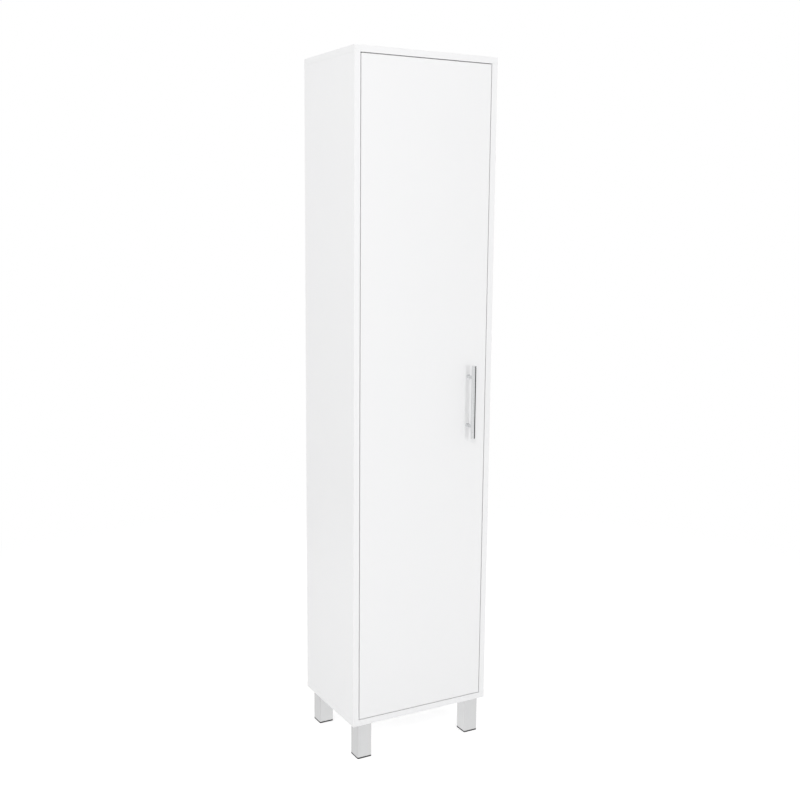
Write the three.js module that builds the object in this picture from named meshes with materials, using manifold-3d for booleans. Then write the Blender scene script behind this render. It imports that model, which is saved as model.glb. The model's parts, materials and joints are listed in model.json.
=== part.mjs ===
// Broom cupboard: a tall, narrow cabinet of white board on four square legs, with one inset door,
// three concealed hinges and a bar handle. Millimetres, +Z up, the door faces -Y.
// The origin is on the floor, under the middle of the whole object, handle included.

import * as THREE from 'three';
import { mergeVertices } from 'three/addons/utils/BufferGeometryUtils.js';
import Module from 'manifold-3d';

const wasm = await Module();
wasm.setup();

// The case
const caseWidth = 400;
const caseDepth = 288;
const caseHeight = 1694;
const boardThickness = 16;
const boardEdgeRadius = 0.8;
const backThickness = 3;
const backInset = 12;
const grooveDepth = 6;
const backSlack = 1;

// The door
const doorThickness = 16;
const doorGap = 2;
const doorEdgeRadius = 0.8;

// The shelf and its pins
const shelfBelowTop = 320;
const shelfSetback = 42;
const shelfSlack = 1;
const pinDiameter = 4.6;
const pinLength = 8;
const pinHoleSetback = 37;
const pinHolePitch = 32;
const pinHolesAbove = 2;
const pinHolesBelow = 2;
const pinCollarDiameter = 8;
const pinCollarThickness = 1.2;
const pinSpoonLength = 7;
const pinSpoonDiameter = 6;
const pinSeatRise = 1.5;

// Cam locks, which draw the top and bottom panels onto the sides
const camHoleDiameter = 15;
const camHoleDepth = 12.5;
const camFromEnd = 34;
const camSetback = 50;
const camCrossWidth = 2;
const camCrossLength = 8;
const camCrossDepth = 3;
const boltChannelDiameter = 8;
const boltHeadDiameter = 6.4;
const boltHeadLength = 4;
const boltNeckDiameter = 4;
const boltNeckLength = 5;
const boltShankDiameter = 6;
const boltThreadDiameter = 4.6;
const boltThreadLength = 11;

// The handle
const handleBarDiameter = 12;
const handleBarLength = 190;
const handleBarChamfer = 0.8;
const handleReach = 34;
const handlePostSpacing = 128;
const handleCentreHeight = 829;
const handleFromDoorEdge = 52;
const postDiameter = 8;
const postCollarDiameter = 11;
const postCollarThickness = 2;
const postSpigotDiameter = 6;
const postSpigotLength = 4;
const screwDiameter = 4;
const screwGrip = 9;
const screwHeadDiameter = 8.4;
const screwHeadHeight = 2.6;
const screwCrossWidth = 1.2;
const screwCrossLength = 5;
const screwCrossDepth = 1.3;

// The hinges. Across runs from the cup's centre towards the handle side of the door,
// and deep from the door's back face into the cupboard.
const hingeCount = 3;
const hingeFromDoorEnd = 110;
const cupSetback = 22.5;
const cupHoleDiameter = 35;
const cupHoleDepth = 13;
const cupWall = 1;
const cupFlangeThickness = 1.2;
const cupRimWidth = 2;
const cupEarAcross = 9.5;
const cupEarSpacing = 48;
const cupEarRadius = 6;
const cupEarHoleDiameter = 4;
const broadArmPinAcross = 9.14;
const broadArmPinDeep = -9.04;
const broadCupPinAcross = -8.65;
const broadCupPinDeep = -8.09;
const narrowArmPinAcross = 4.24;
const narrowArmPinDeep = -8.12;
const narrowCupPinAcross = -13.03;
const narrowCupPinDeep = -8.94;
const hingePinDiameter = 2.2;
const hingeEyeDiameter = 4.4;
const hingeRunningGap = 0.25;
const openPivotGap = 0.45;
const narrowLinkWidth = 8.4;
const broadLinkInnerWidth = 9.4;
const broadLinkWidth = 13.4;
const linkBandThickness = 2.3;
const armInnerWidth = 14;
const armWidth = 18;
const armWebThickness = 1.5;
const armWebStart = 7;
const armNeckThickness = 5.6;
const armNeckOffset = 2.6;
const armNoseHeight = 9;
const armNeckFlare = 6;
const armBendDeep = 17;
const armBendRise = 5;
const armShoulderDeep = 36;
const armShoulderRise = 6;
const armEndDeep = 70;
const armBaseHeight = 12;
const armBaseLift = 2.2;
const armCornerRadius = 2.5;
const plateThickness = 1.6;
const plateWingLength = 60;
const plateWingDepth = 20;
const plateScrewSpacing = 32;
const plateScrewDiameter = 5;
const plateScrewDepth = 12;
const plateDeep = 37;
const plateRidgeChamfer = 3;
const plateCornerRadius = 5;

// The legs
const legHeight = 95;
const legWidth = 40;
const legWall = 1.8;
const legCornerRadius = 2;
const legInsetSide = 17;
const legInsetFront = 7;
const footThickness = 4;
const footPlugHeight = 16;
const footPlugWall = 2;
const studDiameter = 8;
const studReach = 12;
const studPlugHeight = 18;

// Clearances and facets
const fit = 0.3;
const overrun = 1;
const holeSides = 8;
const smallSides = 10;
const eyeSides = 16;
const roundSides = 20;
const barSides = 32;
const edgeSteps = 2;
const bandSteps = 8;

// The courses of the hinge links between their pins: along the link and up from it,
// as shares of the distance between the pins.
const broadLinkShares = [[0, 0], [0.108, 0.199], [0.302, 0.245], [0.665, 0.208], [1, 0]];
const narrowLinkShares = [[0, 0], [0.265, 0.193], [0.638, 0.269], [0.901, 0.212], [1, 0]];

// Places that several pieces share
const depthOverall = caseDepth + handleReach;
const frontY = handleReach - depthOverall / 2;
const backY = frontY + caseDepth;
const caseBottom = legHeight;
const caseTop = legHeight + caseHeight;
const sideHeight = caseHeight - 2 * boardThickness;
const sideBottom = caseBottom + boardThickness;
const sideTop = sideBottom + sideHeight;
const innerX = caseWidth / 2 - boardThickness;
const innerWidth = 2 * innerX;
const doorWidth = innerWidth - 2 * doorGap;
const doorHeight = sideHeight - 2 * doorGap;
const doorBottom = sideBottom + doorGap;
const doorBackY = frontY + doorThickness;
const backPanelY = backY - backInset - backThickness;

const white = { color: 0xf1f2f4, roughness: 0.42, metalness: 0 };
const materials = {
  board: new THREE.MeshStandardMaterial(white),
  back: new THREE.MeshStandardMaterial({ color: 0xe9eaec, roughness: 0.6, metalness: 0 }),
  chrome: new THREE.MeshStandardMaterial({ color: 0xc9cbcd, roughness: 0.12, metalness: 1 }),
  leg: new THREE.MeshStandardMaterial({ color: 0xc4c6c9, roughness: 0.38, metalness: 0.9 }),
  nickel: new THREE.MeshStandardMaterial({ color: 0xb9b8b3, roughness: 0.25, metalness: 1 }),
  zinc: new THREE.MeshStandardMaterial({ color: 0xa7a9ab, roughness: 0.45, metalness: 0.9 }),
  plastic: new THREE.MeshStandardMaterial({ color: 0x17181a, roughness: 0.55, metalness: 0 }),
};

const X = new THREE.Vector3(1, 0, 0);
const Y = new THREE.Vector3(0, 1, 0);
const Z = new THREE.Vector3(0, 0, 1);

// Turns a closed geometry into a solid that can be cut and joined.
function solid(geometry) {
  const bare = geometry.clone();
  bare.deleteAttribute('normal');
  bare.deleteAttribute('uv');
  const merged = mergeVertices(bare);
  const vertProperties = Float32Array.from(merged.attributes.position.array);
  const triVerts = Uint32Array.from(merged.index.array);
  return new wasm.Manifold(new wasm.Mesh({ numProp: 3, vertProperties, triVerts }));
}

// Gives a solid back as a geometry for a mesh.
function surface(body) {
  const { vertProperties, triVerts } = body.getMesh();
  const geometry = new THREE.BufferGeometry();
  geometry.setAttribute('position', new THREE.BufferAttribute(vertProperties, 3));
  geometry.setIndex(new THREE.BufferAttribute(triVerts, 1));
  const faceted = geometry.toNonIndexed();
  faceted.computeVertexNormals();
  return faceted;
}

function cut(geometry, tools) {
  return surface(tools.reduce((body, tool) => body.subtract(solid(tool)), solid(geometry)));
}

function join(geometries) {
  return surface(geometries.slice(1).reduce((body, part) => body.add(solid(part)), solid(geometries[0])));
}

// Turns a geometry so that its own x, y and z lie along three given directions.
function turned(geometry, alongX, alongY, alongZ) {
  return geometry.clone().applyMatrix4(new THREE.Matrix4().makeBasis(alongX, alongY, alongZ));
}

function block(width, depth, height, x, y, z) {
  return new THREE.BoxGeometry(width, depth, height).translate(x, y, z);
}

// A round tool or rod that starts at a point and runs a length in a direction.
function rod(diameter, length, start, direction, sides) {
  const radius = diameter / 2;
  const geometry = new THREE.CylinderGeometry(radius, radius, length, sides).translate(0, length / 2, 0);
  geometry.applyQuaternion(new THREE.Quaternion().setFromUnitVectors(Y, direction));
  return geometry.translate(start.x, start.y, start.z);
}

// The diameter of a faceted tool whose flats, and not its corners, lie on the round hole.
function roundFlats(diameter, sides) {
  return diameter / Math.cos(Math.PI / sides);
}

// The tool for a hole from its mouth inwards; it starts a little outside the face.
function drilling(diameter, depth, mouth, direction, sides = holeSides) {
  const start = mouth.clone().addScaledVector(direction, -overrun);
  return rod(roundFlats(diameter, sides), depth + overrun, start, direction, sides);
}

// A turned piece about Z, from [radius, height] points that start and end on the axis.
function turning(points, sides) {
  return new THREE.LatheGeometry(points.map(([r, z]) => new THREE.Vector2(r, z)), sides)
    .applyMatrix4(new THREE.Matrix4().makeBasis(X, Z, Y.clone().negate()));
}

// A closed outline whose corners are rounded; a point is [x, y] or [x, y, radius].
function roundedOutline(points, radius) {
  const shape = new THREE.Shape();
  const count = points.length;
  points.forEach(([x, y, own = radius], i) => {
    const corner = new THREE.Vector2(x, y);
    const [beforeX, beforeY] = points[(i + count - 1) % count];
    const [afterX, afterY] = points[(i + 1) % count];
    const before = new THREE.Vector2(beforeX, beforeY).sub(corner);
    const after = new THREE.Vector2(afterX, afterY).sub(corner);
    const reach = Math.min(own, before.length() / 2, after.length() / 2);
    const entry = before.setLength(reach).add(corner);
    const exit = after.setLength(reach).add(corner);
    if (i === 0) {
      shape.moveTo(entry.x, entry.y);
    } else {
      shape.lineTo(entry.x, entry.y);
    }
    if (reach > 0) {
      shape.quadraticCurveTo(corner.x, corner.y, exit.x, exit.y);
    }
  });
  shape.closePath();
  return shape;
}

function rectangle(width, depth, radius) {
  const [x, y] = [width / 2, depth / 2];
  return roundedOutline([[-x, -y], [x, -y], [x, y], [-x, y]], radius);
}

function extruded(shape, length, from = 0, steps = edgeSteps) {
  return new THREE.ExtrudeGeometry(shape, { depth: length, bevelEnabled: false, curveSegments: steps })
    .translate(0, 0, from);
}

const pieces = new THREE.Group();

function place(name, geometry, material, x, y, z, parent = pieces) {
  const mesh = new THREE.Mesh(geometry, material);
  mesh.name = name;
  mesh.position.set(x, y, z);
  parent.add(mesh);
  return mesh;
}

// Places of the cam locks, shelf pins and legs, from the front plane

const camYs = [frontY + camSetback, backY - camSetback];
const shelfUnderside = sideTop - shelfBelowTop;
const shelfDepth = backPanelY - frontY - shelfSetback - shelfSlack;
const pinYs = [frontY + shelfSetback + pinHoleSetback, backPanelY - pinHoleSetback];
const pinZ = shelfUnderside - pinSeatRise;
const pinHoleDiameter = pinDiameter + 2 * fit;
const pinHoleDepth = pinLength + fit;
const hingeZs = Array.from({ length: hingeCount }, (unused, i) => {
  const span = doorHeight - 2 * hingeFromDoorEnd;
  return doorBottom + hingeFromDoorEnd + span * i / (hingeCount - 1);
});
const hingeScrewY = doorBackY + plateDeep;
const panelBoltHoleDiameter = boltThreadDiameter + 2 * fit;
const handlePostX = caseWidth / 2 - boardThickness - doorGap - handleFromDoorEdge;
const handlePostZs = [-1, 1].map((end) => caseBottom + handleCentreHeight + end * handlePostSpacing / 2);
const handleScrewHoleDiameter = screwDiameter + 2 * fit;
const legX = caseWidth / 2 - legInsetSide - legWidth / 2;
const legYs = [frontY + legInsetFront + legWidth / 2, backY - legInsetFront - legWidth / 2];

// Side panels: a board with rounded front edges and a groove for the back, drilled for the locks,
// the shelf pins and, on the left, the hinge plates

function sidePanel(side) {
  const outer = side * caseWidth / 2;
  const inner = side * innerX;
  const grooveBottom = inner + side * grooveDepth;
  const grooveFront = backPanelY - fit;
  const grooveBack = backPanelY + backThickness + fit;
  const outline = roundedOutline([
    [outer, frontY, boardEdgeRadius], [outer, backY], [inner, backY], [inner, grooveBack],
    [grooveBottom, grooveBack], [grooveBottom, grooveFront], [inner, grooveFront],
    [inner, frontY, boardEdgeRadius],
  ], 0);
  const outwards = X.clone().multiplyScalar(side);
  const tools = [];
  for (const y of camYs) {
    for (const end of [-1, 1]) {
      const endZ = end < 0 ? 0 : sideHeight;
      const camMouth = new THREE.Vector3(inner, y, endZ - end * camFromEnd);
      const boltMouth = new THREE.Vector3(inner + side * boardThickness / 2, y, endZ);
      const inwards = Z.clone().multiplyScalar(-end);
      tools.push(drilling(camHoleDiameter, camHoleDepth, camMouth, outwards, roundSides));
      tools.push(drilling(boltChannelDiameter, camFromEnd, boltMouth, inwards));
    }
  }
  for (const y of pinYs) {
    for (let i = -pinHolesBelow; i <= pinHolesAbove; i += 1) {
      const mouth = new THREE.Vector3(inner, y, pinZ - sideBottom + i * pinHolePitch);
      tools.push(drilling(pinHoleDiameter, pinHoleDepth, mouth, outwards));
    }
  }
  if (side < 0) {
    for (const z of hingeZs) {
      for (const end of [-1, 1]) {
        const mouth = new THREE.Vector3(inner, hingeScrewY, z - sideBottom + end * plateScrewSpacing / 2);
        tools.push(drilling(plateScrewDiameter, plateScrewDepth, mouth, outwards));
      }
    }
  }
  return cut(extruded(outline, sideHeight), tools);
}

place('side_panel_left', sidePanel(-1), materials.board, 0, 0, sideBottom);
place('side_panel_right', sidePanel(1), materials.board, 0, 0, sideBottom);

// Top and bottom panels: full width, over and under the sides, with a stopped groove for the back

function endPanel(facing) {
  const half = boardThickness / 2;
  const outline = roundedOutline([
    [frontY, -half, boardEdgeRadius], [backY, -half], [backY, half], [frontY, half, boardEdgeRadius],
  ], 0);
  const board = turned(extruded(outline, caseWidth, -caseWidth / 2), Y, Z, X);
  const grooveWidth = backThickness + 2 * fit;
  const grooveLength = innerWidth + 2 * grooveDepth;
  const face = facing * half;
  const groove = block(grooveLength, grooveWidth, 2 * grooveDepth, 0, backPanelY + backThickness / 2, face);
  const inwards = Z.clone().multiplyScalar(-facing);
  const boltHoles = camYs.flatMap((y) => [-1, 1].map((side) => {
    const mouth = new THREE.Vector3(side * (innerX + half), y, face);
    return drilling(panelBoltHoleDiameter, boltThreadLength + fit, mouth, inwards);
  }));
  return [board, [groove, ...boltHoles]];
}

const [topBoard, topTools] = endPanel(-1);
place('top_panel', cut(topBoard, topTools), materials.board, 0, 0, caseTop - boardThickness / 2);

const [bottomBoard, bottomTools] = endPanel(1);
const studHoles = legYs.flatMap((y) => [-1, 1].map((side) => {
  const mouth = new THREE.Vector3(side * legX, y, -boardThickness / 2);
  return drilling(studDiameter + 2 * fit, studReach + fit, mouth, Z);
}));
const bottomPanel = cut(bottomBoard, [...bottomTools, ...studHoles]);
place('bottom_panel', bottomPanel, materials.board, 0, 0, caseBottom + boardThickness / 2);

// Back panel: thin board that slides into the grooves

const backWidth = innerWidth + 2 * (grooveDepth - backSlack);
const backHeight = sideHeight + 2 * (grooveDepth - backSlack);
const backCentreZ = sideBottom + sideHeight / 2;
const backGeometry = new THREE.BoxGeometry(backWidth, backThickness, backHeight);
place('back_panel', backGeometry, materials.back, 0, backPanelY + backThickness / 2, backCentreZ);

// Shelf, with rounded front edges

const shelfWidth = innerWidth - 2 * shelfSlack;
const shelfOutline = roundedOutline([
  [0, 0, boardEdgeRadius], [shelfDepth, 0], [shelfDepth, boardThickness],
  [0, boardThickness, boardEdgeRadius],
], 0);
const shelf = turned(extruded(shelfOutline, shelfWidth, -shelfWidth / 2), Y, Z, X);
place('shelf', shelf, materials.board, 0, frontY + shelfSetback, shelfUnderside);

// Shelf pins: turned, with a collar against the side and a flat seat under the shelf

const pinSeatTool = block(2 * pinSpoonLength, 2 * pinSpoonDiameter, pinSpoonDiameter,
  pinSpoonLength + pinCollarThickness, 0, pinSeatRise + pinSpoonDiameter / 2);

const pinTurning = turned(turning([
  [0, -pinLength], [pinDiameter / 2, -pinLength], [pinDiameter / 2, 0], [pinCollarDiameter / 2, 0],
  [pinCollarDiameter / 2, pinCollarThickness], [pinSpoonDiameter / 2, pinCollarThickness],
  [pinSpoonDiameter / 2, pinCollarThickness + pinSpoonLength], [0, pinCollarThickness + pinSpoonLength],
], smallSides), Y, Z, X);
const pinCollarTool = block(2 * overrun + pinCollarThickness, pinCollarDiameter, pinCollarDiameter,
  pinCollarThickness / 2 + overrun, 0, pinSeatRise + pinCollarDiameter / 2);
const pinGeometry = cut(pinTurning, [pinSeatTool, pinCollarTool]);

const sides = [['left', -1], ['right', 1]];
const ends = [['front', 0], ['back', 1]];

for (const [sideName, side] of sides) {
  for (const [endName, end] of ends) {
    const inwards = X.clone().multiplyScalar(-side);
    const across = Y.clone().multiplyScalar(-side);
    const geometry = turned(pinGeometry, inwards, across, Z);
    place(`shelf_pin_${endName}_${sideName}`, geometry, materials.nickel, side * innerX, pinYs[end], pinZ);
  }
}

// Cam locks and their bolts. A lock is a drum with a pocket for the bolt's head and a cross recess;
// its own z points into the cupboard and its own x along the bolt.

const camRadius = camHoleDiameter / 2 - fit;
const camLength = camHoleDepth - fit;
const camPocketReach = boltHeadLength / 2 + fit;
const camBoltDepth = boardThickness / 2;

const camDrum = rod(2 * camRadius, camLength, new THREE.Vector3(0, 0, -camLength), Z, roundSides);
const camPocket = rod(boltHeadDiameter + 2 * fit, camPocketReach + camRadius + overrun,
  new THREE.Vector3(-camPocketReach, 0, -camBoltDepth), X, smallSides);
const camCross = [
  block(camCrossLength, camCrossWidth, 2 * camCrossDepth, 0, 0, 0),
  block(camCrossWidth, camCrossLength, 2 * camCrossDepth, 0, 0, 0),
];
const camGeometry = cut(camDrum, [camPocket, ...camCross]);

// The bolt stands on the panel's face at z = 0, with its thread above and its head below.
const boltHeadTop = -camFromEnd + boltHeadLength / 2;
const boltHeadBottom = -camFromEnd - boltHeadLength / 2;
const boltNeckTop = boltHeadTop + boltNeckLength;
const headChamfer = boltHeadLength / 4;
const boltGeometry = turning([
  [0, boltHeadBottom], [boltNeckDiameter / 2, boltHeadBottom],
  [boltHeadDiameter / 2, boltHeadBottom + headChamfer],
  [boltHeadDiameter / 2, boltHeadTop - headChamfer], [boltNeckDiameter / 2, boltHeadTop],
  [boltNeckDiameter / 2, boltNeckTop], [boltShankDiameter / 2, boltNeckTop + headChamfer],
  [boltShankDiameter / 2, 0], [boltThreadDiameter / 2, 0], [boltThreadDiameter / 2, boltThreadLength],
  [0, boltThreadLength],
], smallSides);

for (const [sideName, side] of sides) {
  for (const [endName, end] of ends) {
    for (const [levelName, up] of [['lower', -1], ['upper', 1]]) {
      const panelZ = up < 0 ? sideBottom : sideTop;
      const towardsPanel = Z.clone().multiplyScalar(up);
      const inwards = X.clone().multiplyScalar(-side);
      const third = inwards.clone().cross(towardsPanel);
      const label = `${levelName}_${endName}_${sideName}`;
      const cam = turned(camGeometry, towardsPanel, third, inwards);
      place(`cam_lock_${label}`, cam, materials.zinc, side * innerX, camYs[end], panelZ - up * camFromEnd);
      const bolt = turned(boltGeometry, X, Y.clone().multiplyScalar(up), towardsPanel);
      const boltX = side * (innerX + boardThickness / 2);
      place(`cam_bolt_${label}`, bolt, materials.zinc, boltX, camYs[end], panelZ);
    }
  }
}

// Door: one board with rounded edges all round, bored for the cups and the handle screws.
// Its own origin is in the middle of its back face.

const doorFace = rectangle(doorWidth - 2 * doorEdgeRadius, doorHeight - 2 * doorEdgeRadius, 0);
const doorBoard = turned(new THREE.ExtrudeGeometry(doorFace, {
  depth: doorThickness - 2 * doorEdgeRadius,
  bevelSize: doorEdgeRadius,
  bevelThickness: doorEdgeRadius,
  bevelSegments: edgeSteps,
}), X, Z, Y.clone().negate()).translate(0, -doorEdgeRadius, 0);

const cupX = -innerX + doorGap + cupSetback;
const doorCentreZ = doorBottom + doorHeight / 2;
const doorTools = [
  ...hingeZs.map((z) => drilling(cupHoleDiameter, cupHoleDepth,
    new THREE.Vector3(cupX, 0, z - doorCentreZ), Y.clone().negate(), barSides)),
  ...handlePostZs.map((z) => drilling(handleScrewHoleDiameter, doorThickness + overrun,
    new THREE.Vector3(handlePostX, 0, z - doorCentreZ), Y.clone().negate())),
];
place('door_panel', cut(doorBoard, doorTools), materials.board, 0, doorBackY, doorCentreZ);

// Handle: a turned bar on two turned posts, held by screws through the door

const barRadius = handleBarDiameter / 2;
const barY = frontY - handleReach + barRadius;
const barZ = caseBottom + handleCentreHeight;
const barHalf = handleBarLength / 2;
const barTurning = turning([
  [0, -barHalf], [barRadius - handleBarChamfer, -barHalf], [barRadius, -barHalf + handleBarChamfer],
  [barRadius, barHalf - handleBarChamfer], [barRadius - handleBarChamfer, barHalf], [0, barHalf],
], barSides);
const spigotHoles = handlePostZs.map((z) => drilling(postSpigotDiameter + 2 * fit,
  postSpigotLength + fit, new THREE.Vector3(0, barRadius, z - barZ), Y.clone().negate(), roundSides));
place('handle_bar', cut(barTurning, spigotHoles), materials.chrome, handlePostX, barY, barZ);

// A post stands on the door's face at z = 0 and points at the bar.
const postReach = handleReach - barRadius;
const postBody = turning([
  [0, 0], [postCollarDiameter / 2, 0], [postCollarDiameter / 2, postCollarThickness],
  [postDiameter / 2, postCollarThickness + (postCollarDiameter - postDiameter) / 2],
  [postDiameter / 2, postReach], [0, postReach],
], roundSides);
const barSaddle = rod(handleBarDiameter + 2 * fit, 2 * handleBarDiameter,
  new THREE.Vector3(0, -handleBarDiameter, postReach), Y, barSides);
const spigot = rod(postSpigotDiameter, 2 * postSpigotLength,
  new THREE.Vector3(0, 0, postReach - barRadius - postSpigotLength), Z, roundSides);
const screwHole = drilling(handleScrewHoleDiameter, screwGrip + fit, new THREE.Vector3(), Z);
const postGeometry = cut(join([cut(postBody, [barSaddle]), spigot]), [screwHole]);

const screwTurning = turning([
  [0, -screwHeadHeight], [screwHeadDiameter / 4, -screwHeadHeight],
  [screwHeadDiameter / 2, -screwHeadHeight / 2], [screwHeadDiameter / 2, 0],
  [screwDiameter / 2, 0], [screwDiameter / 2, doorThickness + screwGrip], [0, doorThickness + screwGrip],
], smallSides);
const screwGeometry = cut(screwTurning, [
  block(screwCrossLength, screwCrossWidth, 2 * screwCrossDepth, 0, 0, -screwHeadHeight),
  block(screwCrossWidth, screwCrossLength, 2 * screwCrossDepth, 0, 0, -screwHeadHeight),
]);

for (const [label, i] of [['lower', 0], ['upper', 1]]) {
  const post = turned(postGeometry, X, Z, Y.clone().negate());
  place(`handle_post_${label}`, post, materials.chrome, handlePostX, frontY, handlePostZs[i]);
  const screw = turned(screwGeometry, X, Z, Y.clone().negate());
  place(`handle_screw_${label}`, screw, materials.zinc, handlePostX, doorBackY, handlePostZs[i]);
}

// Hinges, in plan: x from the left side's inner face, y from the front plane, z along the pins.
// The arm is fixed to the side, the cup to the door, and two bowed links join them.

const cupCentre = new THREE.Vector2(doorGap + cupSetback, doorThickness);

function hingePoint(across, deep) {
  return new THREE.Vector2(cupCentre.x + across, cupCentre.y + deep);
}

const broadArmPin = hingePoint(broadArmPinAcross, broadArmPinDeep);
const broadCupPin = hingePoint(broadCupPinAcross, broadCupPinDeep);
const narrowArmPin = hingePoint(narrowArmPinAcross, narrowArmPinDeep);
const narrowCupPin = hingePoint(narrowCupPinAcross, narrowCupPinDeep);
const eyeRadius = hingeEyeDiameter / 2;

function upright(diameter, height, at, sides = eyeSides) {
  return rod(diameter, height, new THREE.Vector3(at.x, at.y, -height / 2), Z, sides);
}

function pinHole(gap, height, at) {
  return upright(roundFlats(hingePinDiameter + 2 * gap, smallSides), 2 * height, at, smallSides);
}

function centred(shape, height) {
  return extruded(shape, height, -height / 2);
}

// A strip of even thickness along a smooth course of shares between two pins
function bandOutline(fromPin, toPin, shares) {
  const along = toPin.clone().sub(fromPin);
  const up = new THREE.Vector2(along.y, -along.x);
  const course = new THREE.SplineCurve(shares.map(([a, b]) => fromPin.clone()
    .addScaledVector(along, a).addScaledVector(up, b)));
  const left = [];
  const right = [];
  for (let i = 0; i <= bandSteps; i += 1) {
    const point = course.getPoint(i / bandSteps);
    const tangent = course.getTangent(i / bandSteps);
    const normal = new THREE.Vector2(-tangent.y, tangent.x).multiplyScalar(linkBandThickness / 2);
    left.push(point.clone().add(normal));
    right.unshift(point.clone().sub(normal));
  }
  return new THREE.Shape([...left, ...right]);
}

// The broad link: two bowed cheeks, one at each end of a barrel that turns on the arm's pin
const broadBarrel = upright(hingeEyeDiameter, broadLinkWidth, broadArmPin);
const broadSlot = block(innerWidth, innerWidth, broadLinkInnerWidth, 0, 0, 0);
const broadCheeks = cut(join([
  centred(bandOutline(broadArmPin, broadCupPin, broadLinkShares), broadLinkWidth),
  upright(hingeEyeDiameter, broadLinkWidth, broadCupPin),
]), [broadSlot]);
const broadLink = cut(join([broadCheeks, broadBarrel]), [
  pinHole(hingeRunningGap, broadLinkWidth, broadArmPin),
  pinHole(hingeRunningGap, broadLinkWidth, broadCupPin),
]);

// The narrow link, between those cheeks; its eye on the cup's pin is the wide one
const narrowLink = cut(join([
  centred(bandOutline(narrowArmPin, narrowCupPin, narrowLinkShares), narrowLinkWidth),
  upright(hingeEyeDiameter, narrowLinkWidth, narrowArmPin),
  upright(hingeEyeDiameter, narrowLinkWidth, narrowCupPin),
]), [
  pinHole(hingeRunningGap, narrowLinkWidth, narrowArmPin),
  pinHole(openPivotGap, narrowLinkWidth, narrowCupPin),
]);

// The arm: a pressed channel that runs along the side, cranks across and ends in a nose in the cup
const noseFront = broadArmPin.y - eyeRadius;
const noseLeft = narrowArmPin.x - eyeRadius;
const neckRight = broadArmPin.x + armNeckOffset;
const neckLeft = neckRight - armNeckThickness;
const bendY = doorThickness + armBendDeep;
const shoulderY = doorThickness + armShoulderDeep;
const armEndY = doorThickness + armEndDeep;
const webLine = [
  [neckRight, bendY + armBendRise], [armBaseHeight, shoulderY + armShoulderRise], [armBaseHeight, armEndY],
];
const armOutline = roundedOutline([
  [noseLeft, noseFront, eyeRadius], [neckRight, noseFront, eyeRadius], ...webLine,
  [armBaseLift, armEndY], [armBaseLift, shoulderY], [neckLeft, bendY],
  [neckLeft, noseFront + armNoseHeight + armNeckFlare], [noseLeft, noseFront + armNoseHeight],
], armCornerRadius);
const webStart = broadArmPin.y + armWebStart;
const webInner = neckRight - armWebThickness;
const crank = new THREE.Vector2(webLine[1][0] - webLine[0][0], webLine[1][1] - webLine[0][1]).normalize();
const cornerDrop = armWebThickness * (1 - crank.y) / -crank.x;
const armHollow = new THREE.Shape([
  [-overrun, noseFront - overrun], [neckRight + overrun, noseFront - overrun],
  [neckRight + overrun, webStart], [webInner, webStart], [webInner, webLine[0][1] - cornerDrop],
  [armBaseHeight - armWebThickness, webLine[1][1] - cornerDrop],
  [armBaseHeight - armWebThickness, armEndY + overrun], [-overrun, armEndY + overrun],
].map(([x, y]) => new THREE.Vector2(x, y)));
const hingeArm = join([
  cut(centred(armOutline, armWidth), [centred(armHollow, armInnerWidth)]),
  upright(hingePinDiameter, armWidth, broadArmPin, smallSides),
  upright(hingePinDiameter, armWidth, narrowArmPin, smallSides),
]);

// The mounting plate: a wing screwed to the side and a ridge that the arm's channel sits over
const plateTop = fit + plateThickness;
const ridgeTop = armBaseHeight - armWebThickness - fit;
const ridgeStart = hingeScrewY - frontY - plateWingDepth / 2;
const ridgeOutline = roundedOutline([
  [fit, ridgeStart], [plateTop, ridgeStart], [ridgeTop, ridgeStart + ridgeTop - plateTop],
  [ridgeTop, armEndY - plateRidgeChamfer], [ridgeTop - plateRidgeChamfer, armEndY], [fit, armEndY],
], 0);
const wingOutline = rectangle(plateWingDepth, plateWingLength, plateCornerRadius);
const wing = turned(extruded(wingOutline, plateThickness, 0, 2 * edgeSteps), Y, Z, X)
  .translate(fit, hingeScrewY - frontY, 0);
const hingePlate = cut(join([wing, centred(ridgeOutline, armInnerWidth - 2 * fit)]),
  [-1, 1].map((end) => drilling(plateScrewDiameter, 2 * plateThickness,
    new THREE.Vector3(fit, hingeScrewY - frontY, end * plateScrewSpacing / 2), X)));

// The cup: a thin turned bowl with a flange and two screw ears, and the links' two pins across it
const cupRadius = cupHoleDiameter / 2 - fit;
const bowlDepth = cupHoleDepth;
const cupSeatY = cupCentre.y + fit;
const cupFlangeY = cupSeatY + cupFlangeThickness;
const cupBowl = turned(turning([
  [0, -bowlDepth], [cupRadius, -bowlDepth], [cupRadius, 0], [cupRadius + cupRimWidth, 0],
  [cupRadius + cupRimWidth, cupFlangeThickness], [0, cupFlangeThickness],
], barSides), X, Z.clone().negate(), Y).translate(cupCentre.x, cupSeatY, 0);
const earHalf = cupEarSpacing / 2;
const earOutline = rectangle(2 * cupEarRadius, cupEarSpacing + 2 * cupEarRadius, cupEarRadius);
const cupEars = turned(extruded(earOutline, cupFlangeThickness, 0, 2 * edgeSteps), X, Z, Y.clone().negate())
  .translate(cupCentre.x + cupEarAcross, cupFlangeY, 0);
const cupHollow = drilling(2 * (cupRadius - cupWall), bowlDepth - cupWall + cupFlangeThickness,
  new THREE.Vector3(cupCentre.x, cupFlangeY, 0), Y.clone().negate(), barSides);
const earHoles = [-1, 1].map((end) => drilling(cupEarHoleDiameter, 2 * cupFlangeThickness,
  new THREE.Vector3(cupCentre.x + cupEarAcross, cupFlangeY, end * earHalf), Y.clone().negate()));

// The pins end in the middle of the bowl's wall.
const pinSpace = rod(2 * cupRadius - cupWall, bowlDepth,
  new THREE.Vector3(cupCentre.x, cupSeatY, 0), Y.clone().negate(), barSides);

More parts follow.
